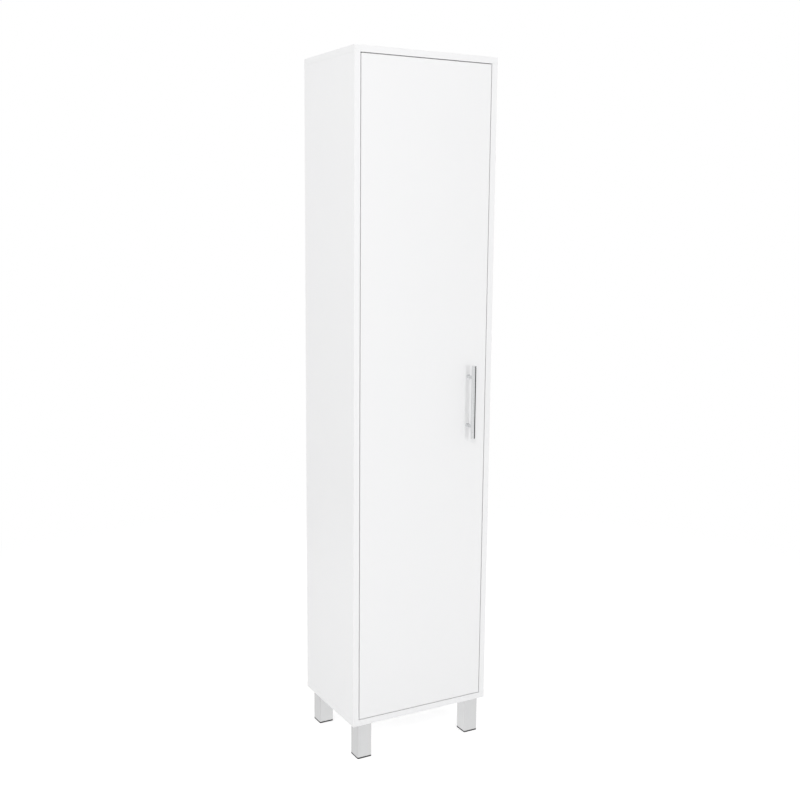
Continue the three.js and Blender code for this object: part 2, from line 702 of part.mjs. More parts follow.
function cupPin(at) {
  const wholePin = upright(hingePinDiameter, 2 * cupRadius, at, smallSides);
  return surface(solid(wholePin).intersect(solid(pinSpace)));
}

const hingeCup = join([
  cut(join([cupBowl, cupEars]), [cupHollow, ...earHoles]), cupPin(broadCupPin), cupPin(narrowCupPin),
]);

hingeZs.forEach((z, i) => {
  const hinge = new THREE.Group();
  hinge.position.set(-innerX, frontY, z);
  pieces.add(hinge);
  place(`hinge_${i + 1}_plate`, hingePlate, materials.nickel, 0, 0, 0, hinge);
  place(`hinge_${i + 1}_arm`, hingeArm, materials.nickel, 0, 0, 0, hinge);
  place(`hinge_${i + 1}_broad_link`, broadLink, materials.nickel, 0, 0, 0, hinge);
  place(`hinge_${i + 1}_narrow_link`, narrowLink, materials.nickel, 0, 0, 0, hinge);
  place(`hinge_${i + 1}_cup`, hingeCup, materials.nickel, 0, 0, 0, hinge);
});

// Legs: a square tube, a plug moulded round a threaded stud at its top, and a foot cap below

const tubeInner = legWidth - 2 * legWall;
const tubeOutline = rectangle(legWidth, legWidth, legCornerRadius);
tubeOutline.holes.push(rectangle(tubeInner, tubeInner, legCornerRadius / 2));
const legTube = extruded(tubeOutline, legHeight - footThickness, footThickness, edgeSteps);

const plugWidth = tubeInner - 2 * fit;
const plugInner = plugWidth - 2 * footPlugWall;
const footPlug = rectangle(plugWidth, plugWidth, legCornerRadius / 2);
footPlug.holes.push(rectangle(plugInner, plugInner, 0));
const footCap = join([
  extruded(rectangle(legWidth, legWidth, legCornerRadius), footThickness),
  extruded(footPlug, footPlugHeight + overrun, footThickness - overrun),
  block(plugInner + footPlugWall, footPlugWall, footPlugHeight, 0, 0, footThickness + footPlugHeight / 2),
]);

const studRoot = studPlugHeight / 2;
const studStart = new THREE.Vector3(0, 0, legHeight - studRoot);
const studBlock = rectangle(plugWidth, plugWidth, legCornerRadius / 2);
const studPlug = join([
  extruded(studBlock, studPlugHeight, legHeight - studPlugHeight),
  rod(studDiameter, studReach + studRoot, studStart, Z, smallSides),
]);

for (const [sideName, side] of sides) {
  for (const [endName, end] of ends) {
    const at = [side * legX, legYs[end], 0];
    place(`leg_tube_${endName}_${sideName}`, legTube, materials.leg, ...at);
    place(`leg_foot_${endName}_${sideName}`, footCap, materials.plastic, ...at);
    place(`leg_stud_${endName}_${sideName}`, studPlug, materials.plastic, ...at);
  }
}

export default pieces;
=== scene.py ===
# Broom cupboard: a tall white cabinet on four square legs, with one inset door on concealed hinges
# and a bar handle. Metres, +Z up, the door faces -Y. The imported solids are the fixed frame.

import json
import math

import bmesh
import bpy
from mathutils import Matrix, Vector


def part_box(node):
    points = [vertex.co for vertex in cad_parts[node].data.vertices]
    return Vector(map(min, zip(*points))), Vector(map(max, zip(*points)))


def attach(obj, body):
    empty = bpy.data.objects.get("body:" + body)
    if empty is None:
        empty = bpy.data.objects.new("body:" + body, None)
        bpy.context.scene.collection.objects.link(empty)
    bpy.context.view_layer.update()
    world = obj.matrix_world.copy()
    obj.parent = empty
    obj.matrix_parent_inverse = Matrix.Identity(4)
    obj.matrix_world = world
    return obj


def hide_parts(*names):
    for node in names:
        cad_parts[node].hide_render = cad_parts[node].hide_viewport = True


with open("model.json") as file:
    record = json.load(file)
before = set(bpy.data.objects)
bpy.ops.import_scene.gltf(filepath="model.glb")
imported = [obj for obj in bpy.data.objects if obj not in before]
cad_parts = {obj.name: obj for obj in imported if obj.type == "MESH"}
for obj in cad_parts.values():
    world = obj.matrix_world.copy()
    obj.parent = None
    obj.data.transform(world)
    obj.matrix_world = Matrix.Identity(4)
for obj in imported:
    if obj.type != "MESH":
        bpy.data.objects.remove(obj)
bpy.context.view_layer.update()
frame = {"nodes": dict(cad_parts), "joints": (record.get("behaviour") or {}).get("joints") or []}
bpy.context.scene.view_settings.view_transform = "Standard"

# The camera stands in front of the cupboard and to its left, at about the height of a person's
# chest, and looks slightly down at the middle of the door.

bpy.ops.object.camera_add(location=(-1.3796, -2.5018, 1.3814))
camera = bpy.context.object
camera.name = "camera"
camera_turn = math.radians(28.86)
camera_tilt = math.radians(-9.24)
camera_roll = math.radians(0.505)
camera.rotation_euler = (
    Matrix.Rotation(-camera_turn, 3, "Z")
    @ Matrix.Rotation(math.pi / 2 + camera_tilt, 3, "X")
    @ Matrix.Rotation(camera_roll, 3, "Z")
).to_euler()
camera.data.sensor_width = 36.0
camera.data.lens = 49.31
camera.data.clip_end = 60.0
bpy.context.scene.camera = camera


# The studio is a white room. Its walls light the cupboard evenly, and show as plain white to the
# lens and in polished metal.

class Signal:
    """One output in a node tree. Sums, products and comparisons of signals add the nodes for them."""

    def __init__(self, tree, socket=None):
        self.tree = tree
        self.socket = socket

    def node(self, kind, inputs=None, output=0, stops=(), **settings):
        """Adds any node: its settings and ramp stops first, then what its sockets take."""
        made = self.tree.nodes.new(kind)
        for setting, value in settings.items():
            setattr(made, setting, value)
        for number, (position, colour) in enumerate(stops):
            ramp = made.color_ramp.elements
            stop = ramp[number] if number < 2 else ramp.new(position)
            stop.position = position
            stop.color = (*colour, 1.0)
        for key, value in (inputs or {}).items():
            socket = made.inputs[key]
            if isinstance(value, Signal):
                self.tree.links.new(value.socket, socket)
            elif socket.type == "RGBA":
                socket.default_value = (*value, 1.0)
            else:
                socket.default_value = value
        return Signal(self.tree, made.outputs[output] if made.outputs else None)

    def other(self, output):
        """Another output of the same node."""
        return Signal(self.tree, self.socket.node.outputs[output])

    def maths(self, operation, *values):
        return self.node("ShaderNodeMath", dict(enumerate(values)), operation=operation)

    def __add__(self, value):
        return self.maths("ADD", self, value)

    def __sub__(self, value):
        return self.maths("SUBTRACT", self, value)

    def __rsub__(self, value):
        return self.maths("SUBTRACT", value, self)

    def __mul__(self, value):
        return self.maths("MULTIPLY", self, value)

    def __gt__(self, value):
        return self.maths("GREATER_THAN", self, value)

    def __lt__(self, value):
        return self.maths("LESS_THAN", self, value)

    __radd__ = __add__
    __rmul__ = __mul__

    def stretched(self, factors):
        """A place signal with each axis multiplied, to draw a pattern out along one of them."""
        return self.node("ShaderNodeVectorMath", {0: self, 1: factors}, operation="MULTIPLY")

    def noise(self, scale, detail=2.0):
        return self.node("ShaderNodeTexNoise", {"Vector": self, "Scale": scale, "Detail": detail})

    def blend(self, first, second):
        """The colour that runs from first to second as this signal runs from 0 to 1."""
        return self.node("ShaderNodeMix", {0: self, 6: first, 7: second}, output=2, data_type="RGBA")


wall_level = 0.745
room = bpy.data.worlds.new("white_room")
bpy.context.scene.world = room
room.use_nodes = True
room.node_tree.nodes.clear()
lens_ray = Signal(room.node_tree).node("ShaderNodeLightPath", output="Is Camera Ray")
metal_ray = lens_ray.other("Is Glossy Ray")
glass_ray = lens_ray.other("Is Transmission Ray")
shown = lens_ray.maths("MAXIMUM", lens_ray, lens_ray.maths("MAXIMUM", metal_ray, glass_ray))
walls = shown.node(
    "ShaderNodeBackground",
    {"Color": (1.0, 1.0, 1.0), "Strength": wall_level + (1.0 - wall_level) * shown},
)
walls.node("ShaderNodeOutputWorld", {"Surface": walls})

# Three softboxes model the form: one straight in front of the door, which throws the handle's soft
# shadow on it, one high over the camera that reaches into the gaps, and one on the left for the side.

for lamp_name, lamp_place, lamp_aim, lamp_width, lamp_height, lamp_power in (
    ("softbox_front", (0.25, -3.4, 1.25), (0.05, -0.13, 0.98), 0.28, 0.5, 15.5),
    ("softbox_high", (-1.75, -2.9, 2.4), (0.0, -0.13, 1.2), 0.6, 0.6, 20.0),
    ("softbox_left", (-3.6, -0.6, 1.9), (0.0, 0.0, 1.0), 1.8, 1.8, 17.0),
):
    bpy.ops.object.light_add(type="AREA", location=lamp_place)
    lamp = bpy.context.object
    lamp.name = lamp_name
    lamp.data.shape = "RECTANGLE"
    lamp.data.size = lamp_width
    lamp.data.size_y = lamp_height
    lamp.data.energy = lamp_power
    lamp.rotation_euler = (Vector(lamp_aim) - Vector(lamp_place)).to_track_quat("-Z", "Y").to_euler()
    lamp.visible_glossy = False

# Three cards show only in reflections and give the metal its form: a dark one on the right draws the
# thin line down the handle, a narrow one behind the camera a fainter line beside it, and one on the
# floor at the left, a little greyer than the floor, shades that side of the legs.

for card_name, card_place, card_size, card_turn, card_tone in (
    ("dark_card", (2.534, -1.782, 1.1), (3.6, 2.4, 1.0), (math.pi / 2, 0.0, math.radians(56.0)), 0.02),
    ("narrow_card", (-1.75, -3.1, 1.3), (0.5, 2.2, 1.0), (math.pi / 2, 0.0, math.radians(-28.0)), 0.3),
    ("grey_card", (-0.82, 0.35, 0.0004), (1.27, 1.9, 1.0), (0.0, 0.0, 0.0), 1.24),
):
    bpy.ops.mesh.primitive_plane_add(size=1.0, location=card_place)
    card = bpy.context.object
    card.name = card_name
    card.scale = card_size
    card.rotation_euler = card_turn
    bpy.ops.object.transform_apply(location=True, rotation=True, scale=True)
    card.visible_camera = False
    card.visible_diffuse = False
    card.visible_shadow = False
    card.visible_transmission = False
    paint = bpy.data.materials.new(card_name)
    paint.use_nodes = True
    paint.node_tree.nodes.clear()
    glow = Signal(paint.node_tree).node("ShaderNodeEmission", {"Color": (card_tone,) * 3, "Strength": 1.0})
    glow.node("ShaderNodeOutputMaterial", {"Surface": glow})
    card.data.materials.append(paint)

# The floor is a pale seamless sheet, lit from within like a light table. Near the cupboard it takes
# the shadows of the legs; further out it is as white as the walls, so that no line shows.

sheet_reach = 9.0
sheet_drop = 0.0002
shadows_reach = 0.8
white_from = 2.4
bpy.ops.mesh.primitive_circle_add(
    vertices=96,
    radius=sheet_reach,
    fill_type="NGON",
    location=(0.0, 0.0, -sheet_drop),
)
floor = bpy.context.object
floor.name = "floor_sheet"
bpy.ops.object.transform_apply(location=True, rotation=True, scale=True)
sheet = bpy.data.materials.new("floor_sheet")
sheet.use_nodes = True
sheet.node_tree.nodes.clear()
spot = Signal(sheet.node_tree).node("ShaderNodeTexCoord", output="Object")
away = spot.node("ShaderNodeVectorMath", {0: spot}, output="Value", operation="LENGTH")
far = spot.node(
    "ShaderNodeMapRange",
    {"Value": away, "From Min": shadows_reach, "From Max": white_from},
    interpolation_type="SMOOTHSTEP",
)
matt = spot.node("ShaderNodeBsdfDiffuse", {"Color": (0.75, 0.75, 0.75)})
by_lens = spot.node("ShaderNodeLightPath", output="Is Camera Ray")
in_metal = by_lens.other("Is Glossy Ray")
lit = spot.node("ShaderNodeEmission", {"Color": (1.0, 1.0, 1.0), "Strength": 0.02 + 0.55 * by_lens})
lit_sheet = spot.node("ShaderNodeAddShader", {0: matt, 1: lit})
mirrored_sheet = spot.node("ShaderNodeEmission", {"Color": (1.0, 1.0, 1.0), "Strength": 1.43})
near_sheet = spot.node("ShaderNodeMixShader", {0: in_metal, 1: lit_sheet, 2: mirrored_sheet})
seen = by_lens.maths("MAXIMUM", by_lens, in_metal)
far_sheet = spot.node(
    "ShaderNodeEmission",
    {"Color": (1.0, 1.0, 1.0), "Strength": wall_level + (1.0 - wall_level) * seen},
)
whole_sheet = spot.node("ShaderNodeMixShader", {0: far, 1: near_sheet, 2: far_sheet})
whole_sheet.node("ShaderNodeOutputMaterial", {"Surface": whole_sheet})
floor.data.materials.append(sheet)


# The side panels are 16 mm chipboard with a white melamine face and a plastic edging down the front.
# Each is grooved for the back and drilled for the cam locks, the shelf pins and, on the left, the hinges.

def new_finish(name):
    """An empty material, and the signal of the place on the object in metres."""
    material = bpy.data.materials.new(name)
    material.use_nodes = True
    material.node_tree.nodes.clear()
    return material, Signal(material.node_tree).node("ShaderNodeTexCoord", output="Object")


def close_finish(place, height, depth, **sockets):
    """Ends a material in one shader whose surface is raised by a height signal times a depth."""
    relief = place.node("ShaderNodeBump", {"Height": height, "Distance": depth, "Strength": 1.0})
    named = {name.replace("_", " "): value for name, value in sockets.items()}
    shader = place.node("ShaderNodeBsdfPrincipled", {"Normal": relief, **named})
    shader.node("ShaderNodeOutputMaterial", {"Surface": shader})


def board_finish(name, low, high, across, edged):
    """Melamine-faced chipboard: across is the axis through its thickness, and edged lists the
    (axis, side) of the ends that carry edging; elsewhere between the faces the raw core shows."""
    material, place = new_finish(name)
    split = place.node("ShaderNodeSeparateXYZ", {0: place}, output="X")
    axes = [split, split.other("Y"), split.other("Z")]
    skin = 0.0004
    edging = 0.001
    glue = 0.0003
    under = place.maths("MINIMUM", axes[across] - low[across], high[across] - axes[across])
    behind = None
    for axis, side in edged:
        from_end = high[axis] - axes[axis] if side > 0 else axes[axis] - low[axis]
        behind = from_end if behind is None else place.maths("MINIMUM", behind, from_end)
    core = (under > skin) * (behind > edging)
    seam = (behind > edging) * (behind < edging + glue)

    mottle = place.noise(7.0, 3.0)
    face = mottle.blend((0.886, 0.887, 0.893), (0.899, 0.900, 0.904))
    face = (seam * 0.35).blend(face, (0.62, 0.60, 0.56))
    flake = place.node("ShaderNodeTexVoronoi", {"Vector": place, "Scale": 620.0}, output="Color")
    grain = place.noise(1400.0, 3.0)
    chips = flake.node(
        "ShaderNodeValToRGB",
        {"Fac": 0.6 * flake + 0.5 * grain},
        stops=((0.2, (0.24, 0.14, 0.07)), (0.55, (0.52, 0.36, 0.20)), (0.9, (0.74, 0.58, 0.38))),
    )
    pearl = place.noise(2600.0, 1.0)
    waves = place.noise(16.0, 1.0)
    height = core * (grain * 0.8 + flake * 0.4) + (1.0 - core) * (pearl * 0.02 + waves * 0.12)
    close_finish(
        place,
        height,
        depth=0.0004,
        Base_Color=core.blend(face, chips),
        Roughness=core * 0.9 + (1.0 - core) * (0.30 + 0.10 * place.noise(11.0, 4.0)),
    )
    return material


def wake(piece):
    """Selects one piece alone and makes it the active one."""
    bpy.ops.object.select_all(action="DESELECT")
    piece.select_set(True)
    bpy.context.view_layer.objects.active = piece


def settle(name=None):
    """Puts the active piece's place and size into its mesh, and names it."""
    bpy.ops.object.transform_apply(location=True, rotation=True, scale=True)
    piece = bpy.context.object
    if name:
        piece.name = name
        piece.data.name = name
    return piece


def block(name, low, high):
    """A box between two corners."""
    low, high = Vector(low), Vector(high)
    bpy.ops.object.select_all(action="DESELECT")
    bpy.ops.mesh.primitive_cube_add(size=1.0, location=(low + high) / 2, scale=high - low)
    return settle(name)


def pick(piece, kind, wanted):
    """Opens a piece with only those edges or faces selected that a test accepts."""
    wake(piece)
    bpy.ops.object.mode_set(mode="EDIT")
    bpy.ops.mesh.select_mode(type=kind)
    bpy.ops.mesh.select_all(action="DESELECT")
    mesh = bmesh.from_edit_mesh(piece.data)
    for element in mesh.edges if kind == "EDGE" else mesh.faces:
        element.select_set(wanted(element))
    bmesh.update_edit_mesh(piece.data)


def round_edges(piece, radius, wanted, steps=3):
    """Rounds the edges whose two ends pass a test."""
    pick(piece, "EDGE", lambda edge: wanted(*(v.co for v in edge.verts)))
    bpy.ops.mesh.bevel(offset=radius, segments=steps, affect="EDGES", clamp_overlap=True)
    bpy.ops.object.mode_set(mode="OBJECT")


overrun = 0.001


def bit(mouth, along, diameter, depth, sides=32):
    """A round cutter that enters at a point on a face and runs to a depth."""
    along = Vector(along)
    middle = Vector(mouth) + along * (depth - overrun) / 2
    bpy.ops.object.select_all(action="DESELECT")
    bpy.ops.mesh.primitive_cylinder_add(
        vertices=sides,
        radius=diameter / 2,
        depth=depth + overrun,
        location=middle,
        rotation=along.to_track_quat("Z", "Y").to_euler(),
    )
    return settle()


def combine(piece, tools, operation):
    """Cuts all the tools out of a piece, or joins them to it, and clears them away."""
    weld = 0.000003
    wake(tools[0])
    for tool in tools[1:]:
        tool.select_set(True)
    if len(tools) > 1:
        bpy.ops.object.join()
    change = piece.modifiers.new("combine", "BOOLEAN")
    change.operation = operation
    change.solver = "EXACT"
    change.use_self = True
    change.object = tools[0]
    wake(piece)
    bpy.ops.object.modifier_apply(modifier=change.name)
    bpy.data.objects.remove(tools[0])
    bpy.ops.object.mode_set(mode="EDIT")
    bpy.ops.mesh.select_all(action="SELECT")
    bpy.ops.mesh.remove_doubles(threshold=weld)
    bpy.ops.object.mode_set(mode="OBJECT")


def carve(piece, tools):
    combine(piece, tools, "DIFFERENCE")


def hand_over(piece, material, body, slot, *nodes):
    """Shades a finished piece smooth but its flat faces flat, and gives it its material and body; its slot
    is not used.
    """
    smooth_up_to = math.radians(35.0)
    wake(piece)
    bpy.ops.object.shade_smooth_by_angle(angle=smooth_up_to)
    flats = piece.modifiers.new("flats", "WEIGHTED_NORMAL")
    flats.keep_sharp = True
    bpy.ops.object.modifier_apply(modifier=flats.name)
    piece.data.materials.clear()
    piece.data.materials.append(material)
    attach(piece, body)
    if nodes:
        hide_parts(*nodes)


cam_diameter = 0.015
cam_depth = 0.0125
cam_from_end = 0.034
bolt_channel = 0.008
pin_hole = 0.0052
pin_hole_depth = 0.0083
pin_pitch = 0.032
seat_above_pin = 0.0023
plate_screw_hole = 0.005
plate_screw_depth = 0.012
plate_screw_inset = 0.01
plate_screw_spacing = 0.032
edge_radius = 0.0005
long_edge = 0.1
seam_relief = 0.00035
groove_slack = 0.0003
groove_play = 0.001
back_low, back_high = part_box("back_panel")

for side_name, side in (("left", -1), ("right", 1)):
    low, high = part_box(f"side_panel_{side_name}")
    inner = high.x if side < 0 else low.x
    panel = block(f"side_board_{side_name}", low, high)
    front = low.y + edge_radius
    round_edges(panel, edge_radius, lambda a, b: a.y < front and b.y < front and abs(a.z - b.z) > long_edge)
    for end_z in (low.z, high.z):
        round_edges(
            panel,
            seam_relief,
            lambda a, b: abs(a.z - end_z) + abs(b.z - end_z) < seam_relief,
            steps=1,
        )
    groove_bottom = back_low.x - groove_play if side < 0 else back_high.x + groove_play
    reach = (groove_bottom, inner - side * 2 * overrun)
    tools = [
        block(
            "groove",
            (min(reach), back_low.y - groove_slack, low.z - overrun),
            (max(reach), back_high.y + groove_slack, high.z + overrun),
        )
    ]
    for depth_name in ("front", "back"):
        for level, up in (("lower", -1), ("upper", 1)):
            lock_low, lock_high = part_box(f"cam_lock_{level}_{depth_name}_{side_name}")
            lock = (lock_low + lock_high) / 2
            tools.append(bit((inner, lock.y, lock.z), (side, 0, 0), cam_diameter, cam_depth, sides=48))
            end_z = low.z if up < 0 else high.z
            bolt_x = inner + side * (high.x - low.x) / 2
            tools.append(bit((bolt_x, lock.y, end_z), (0, 0, -up), bolt_channel, cam_from_end))
        peg_low, peg_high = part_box(f"shelf_pin_{depth_name}_{side_name}")
        peg_y = (peg_low.y + peg_high.y) / 2
        peg_z = peg_high.z - seat_above_pin
        for step in range(-2, 3):
            mouth = (inner, peg_y, peg_z + step * pin_pitch)
            tools.append(bit(mouth, (side, 0, 0), pin_hole, pin_hole_depth, sides=24))
    if side < 0:
        for number in (1, 2, 3):
            plate_low, plate_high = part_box(f"hinge_{number}_plate")
            plate_z = (plate_low.z + plate_high.z) / 2
            for end in (-1, 1):
                mouth = (inner, plate_low.y + plate_screw_inset, plate_z + end * plate_screw_spacing / 2)
                tools.append(bit(mouth, (side, 0, 0), plate_screw_hole, plate_screw_depth, sides=24))
    carve(panel, tools)
    panel_finish = board_finish(f"side_melamine_{side_name}", low, high, across=0, edged=[(1, -1)])
    hand_over(panel, panel_finish, "case", "white_board", f"side_panel_{side_name}")

# The top and bottom panels are the same board, laid over and under the sides for their full width.
# Their front and both ends are edged, and the cam bolts screw into them.

groove_depth = 0.006
bolt_hole_depth = 0.0113
stud_hole = 0.0086
stud_hole_depth = 0.0123
for panel_name, node, inward in (("top_board", "top_panel", -1), ("bottom_board", "bottom_panel", 1)):
    low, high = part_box(node)
    panel = block(panel_name, low, high)
    front = low.y + edge_radius
    round_edges(panel, edge_radius, lambda a, b: a.y < front and b.y < front and abs(a.x - b.x) > long_edge)
    inner = low.z if inward < 0 else high.z
    half_groove = (back_high.x - back_low.x) / 2 + groove_play
    reach = (inner - inward * groove_depth, inner + inward * 2 * overrun)
    tools = [
        block(
            "groove",
            (-half_groove, back_low.y - groove_slack, min(reach)),
            (half_groove, back_high.y + groove_slack, max(reach)),
        )
    ]
    level = "upper" if inward < 0 else "lower"
    for depth_name in ("front", "back"):
        for side_name in ("left", "right"):
            bolt_low, bolt_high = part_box(f"cam_bolt_{level}_{depth_name}_{side_name}")
            bolt = (bolt_low + bolt_high) / 2
            mouth = (bolt.x, bolt.y, inner)
            tools.append(bit(mouth, (0, 0, -inward), pin_hole, bolt_hole_depth, sides=24))
            if inward > 0:
                leg_low, leg_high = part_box(f"leg_stud_{depth_name}_{side_name}")
                leg = (leg_low + leg_high) / 2
                mouth = (leg.x, leg.y, low.z)
                tools.append(bit(mouth, (0, 0, 1), stud_hole, stud_hole_depth, sides=24))
    carve(panel, tools)
    ends = [(1, -1), (0, -1), (0, 1)]
    panel_finish = board_finish(f"{panel_name}_melamine", low, high, across=2, edged=ends)
    hand_over(panel, panel_finish, "case", "white_board", node)

# The shelf is the same board, edged along its front. It is a little short at the back and both ends,
# and lies loose on four pins.

low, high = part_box("shelf")
shelf = block("shelf_board", low, high)
front = low.y + edge_radius
round_edges(shelf, edge_radius, lambda a, b: a.y < front and b.y < front and abs(a.x - b.x) > long_edge)
shelf_finish = board_finish("shelf_melamine", low, high, across=2, edged=[(1, -1)])
hand_over(shelf, shelf_finish, "case", "white_board", "shelf")

# The door is the same board, edged all round, with its corners slightly rounded. Its back is bored
# for three hinge cups and drilled for the handle's two screws.

rim_radius = 0.0192
cup_bore = 0.035
cup_bore_depth = 0.013
handle_screw_hole = 0.0046
low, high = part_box("door_panel")
door = block("door_board", low, high)
round_edges(door, edge_radius, lambda a, b: True)
tools = []
for number in (1, 2, 3):
    cup_low, cup_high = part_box(f"hinge_{number}_cup")
    mouth = (cup_low.x + rim_radius, high.y, (cup_low.z + cup_high.z) / 2)
    tools.append(bit(mouth, (0, -1, 0), cup_bore, cup_bore_depth, sides=64))
for level in ("lower", "upper"):
    screw_low, screw_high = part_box(f"handle_screw_{level}")
    screw = (screw_low + screw_high) / 2
    mouth = (screw.x, high.y, screw.z)
    tools.append(bit(mouth, (0, -1, 0), handle_screw_hole, high.y - low.y + overrun, sides=24))
carve(door, tools)
ends = [(0, -1), (0, 1), (2, -1), (2, 1)]
door_finish = board_finish("door_melamine", low, high, across=1, edged=ends)
hand_over(door, door_finish, "door", "white_board", "door_panel")

# The back is 3 mm hardboard that slides in the grooves of all four boards: lacquered white on the
# side that shows inside, bare brown fibre behind and on its edges.

def dress(node, material):
    """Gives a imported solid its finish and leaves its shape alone."""
    mesh = frame["nodes"][node].data
    mesh.materials.clear()
    mesh.materials.append(material)


hardboard, place = new_finish("hardboard")
depth_into = place.node("ShaderNodeSeparateXYZ", {0: place}, output="Y") - back_low.y
lacquer_coat = 0.0002
bare = depth_into > lacquer_coat
fibres = place.stretched((1.0, 4.0, 1.0)).noise(900.0, 6.0)
flecks = place.node("ShaderNodeTexVoronoi", {"Vector": place, "Scale": 430.0}, output="Distance")
brown = fibres.node(
    "ShaderNodeValToRGB",
    {"Fac": fibres * 0.85 + place.noise(5.0, 3.0) * 0.14},
    stops=((0.3, (0.15, 0.08, 0.038)), (0.52, (0.29, 0.17, 0.088)), (0.8, (0.45, 0.30, 0.17))),
)
brown = (flecks < 0.12).blend(brown, (0.55, 0.41, 0.26))
lacquer = place.noise(8.0, 3.0).blend((0.83, 0.838, 0.845), (0.855, 0.86, 0.865))
weave = place.noise(700.0, 3.0)
close_finish(
    place,
    bare * (fibres + flecks * 0.5) + (1.0 - bare) * weave * 0.12,
    depth=0.0003,
    Base_Color=bare.blend(lacquer, brown),
    Roughness=bare * 0.85 + (1.0 - bare) * (0.40 + 0.12 * weave),
)
dress("back_panel", hardboard)

# Four turned nickel pins carry the shelf. Each is pressed into a hole of the side's row up to its
# collar, and the shelf lies on the flat of its spoon.

def turn(name, profile, sides=48):
    """A solid turned about its own z. Its profile lists (radius, height) from axis to axis."""
    speck = 0.001
    weld = 0.000002
    bpy.ops.object.select_all(action="DESELECT")
    bpy.ops.mesh.primitive_plane_add(size=speck, location=(0.0, 0.0, 0.0))
    bpy.ops.object.mode_set(mode="EDIT")
    bpy.ops.mesh.select_mode(type="VERT")
    bpy.ops.mesh.select_all(action="SELECT")
    bpy.ops.mesh.merge(type="CENTER")
    at = (0.0, 0.0)
    for number, (radius, height) in enumerate(profile):
        step = (radius - at[0], 0.0, height - at[1])
        if number:
            bpy.ops.mesh.extrude_vertices_move(TRANSFORM_OT_translate={"value": step})
        else:
            bpy.ops.transform.translate(value=step)
        at = (radius, height)
    bpy.ops.mesh.select_all(action="SELECT")
    bpy.ops.mesh.spin(steps=sides, angle=2 * math.pi, center=(0.0, 0.0, 0.0), axis=(0.0, 0.0, 1.0))
    bpy.ops.mesh.select_all(action="SELECT")
    bpy.ops.mesh.remove_doubles(threshold=weld)
    bpy.ops.mesh.normals_make_consistent(inside=False)
    bpy.ops.object.mode_set(mode="OBJECT")
    return settle(name)


def facing(at, x_axis, z_axis):
    """The matrix of a place whose own x and z point along two directions."""
    x_axis, z_axis = Vector(x_axis), Vector(z_axis)
    axes = Matrix((x_axis, z_axis.cross(x_axis), z_axis)).transposed()
    return Matrix.Translation(at) @ axes.to_4x4()


def stamp(master, name, matrix):
    """A copy of a master piece, with its own mesh, set at a place."""
    wake(master)
    bpy.ops.object.duplicate()
    bpy.context.object.matrix_world = matrix
    return settle(name)


def metal_finish(name, dull, bright, roughness, grain=700.0, pits=0.0):
    """Plated or cast metal: clouds between two colours, a fine grain and small pits."""
    material, place = new_finish(name)
    cloud = place.noise(65.0, 4.0)
    lines = place.noise(grain, 3.0)
    pit = place.noise(420.0, 5.0) > 0.63
    close_finish(
        place,
        lines * 0.5 - pit * pits,
        depth=0.00002,
        Base_Color=(pit * pits * 0.5).blend(cloud.blend(dull, bright), (0.22, 0.21, 0.20)),
        Metallic=1.0,
        Roughness=roughness * (0.75 + 0.5 * lines) + pit * pits * 0.15,
    )
    return material


nickel = metal_finish("nickel_plate", (0.60, 0.585, 0.55), (0.70, 0.685, 0.65), 0.22, pits=0.15)
pin_radius = 0.0025
pin_length = 0.008
collar_radius = 0.004
collar_thickness = 0.0012
spoon_radius = 0.003
spoon_end = 0.0082
seat_rise = 0.0015
seat_cut = 0.01
nick = 0.0003
peg = turn("shelf_peg", [
    (0.0, -pin_length), (pin_radius - 2 * nick, -pin_length), (pin_radius, 2 * nick - pin_length),
    (pin_radius, 0.0), (collar_radius - nick, 0.0), (collar_radius, nick),
    (collar_radius, collar_thickness - nick), (collar_radius - nick, collar_thickness),
    (spoon_radius, collar_thickness), (spoon_radius, spoon_end - 2 * nick),
    (spoon_radius - 2 * nick, spoon_end), (0.0, spoon_end),
])
carve(peg, [block("seat", (seat_rise, -seat_cut, 0.0), (seat_cut, seat_cut, 2 * spoon_end))])
for depth_name in ("front", "back"):
    for side_name, side in (("left", -1), ("right", 1)):
        node = f"shelf_pin_{depth_name}_{side_name}"
        low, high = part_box(node)
        face_x = low.x + pin_length if side < 0 else high.x - pin_length
        at = (face_x, (low.y + high.y) / 2, low.z + collar_radius)
        pin = stamp(peg, f"shelf_peg_{depth_name}_{side_name}", facing(at, (0, 0, 1), (-side, 0, 0)))
        hand_over(pin, nickel, "case", "fitting_steel", node)
bpy.data.objects.remove(peg)

# Eight cam locks, zinc castings a little under flush, pull the top and bottom panels onto the sides.
# Each has a cross recess for the driver, an arrow towards its panel and a pocket for the bolt's head.

zinc = metal_finish("zinc_casting", (0.50, 0.515, 0.53), (0.64, 0.65, 0.665), 0.36, grain=950.0, pits=1.0)
cam_radius = 0.0072
cam_length = 0.0122
arrow_radius = 0.0011
arrow_depth = 0.001
arrow_from_middle = 0.0052
pocket = 0.007
pocket_below_face = 0.008
pocket_past_middle = 0.0023
slot_reach = 0.0036
slot_half_width = 0.00085
slot_depth = 0.0032
cam = turn("cam_drum", [
    (0.0, -cam_length), (cam_radius - nick, -cam_length), (cam_radius, nick - cam_length),
    (cam_radius, -2 * nick), (cam_radius - nick, -nick), (cam_radius - 3 * nick, 0.0),
    (cam_radius - 6 * nick, 0.0), (cam_radius - 7 * nick, -nick), (0.0, -nick),
], sides=64)
bpy.ops.mesh.primitive_cylinder_add(
    vertices=3,
    radius=arrow_radius,
    depth=arrow_depth,
    location=(arrow_from_middle, 0.0, -nick),
    rotation=(0.0, 0.0, -math.pi / 2),
)
arrow = settle("arrow")
carve(cam, [
    bit((cam_radius, 0.0, -pocket_below_face), (-1, 0, 0), pocket, cam_radius + pocket_past_middle),
    block("slot", (-slot_reach, -slot_half_width, -slot_depth), (slot_reach, slot_half_width, overrun)),
    block("slot", (-slot_half_width, -slot_reach, -slot_depth), (slot_half_width, slot_reach, overrun)),
    arrow,
])
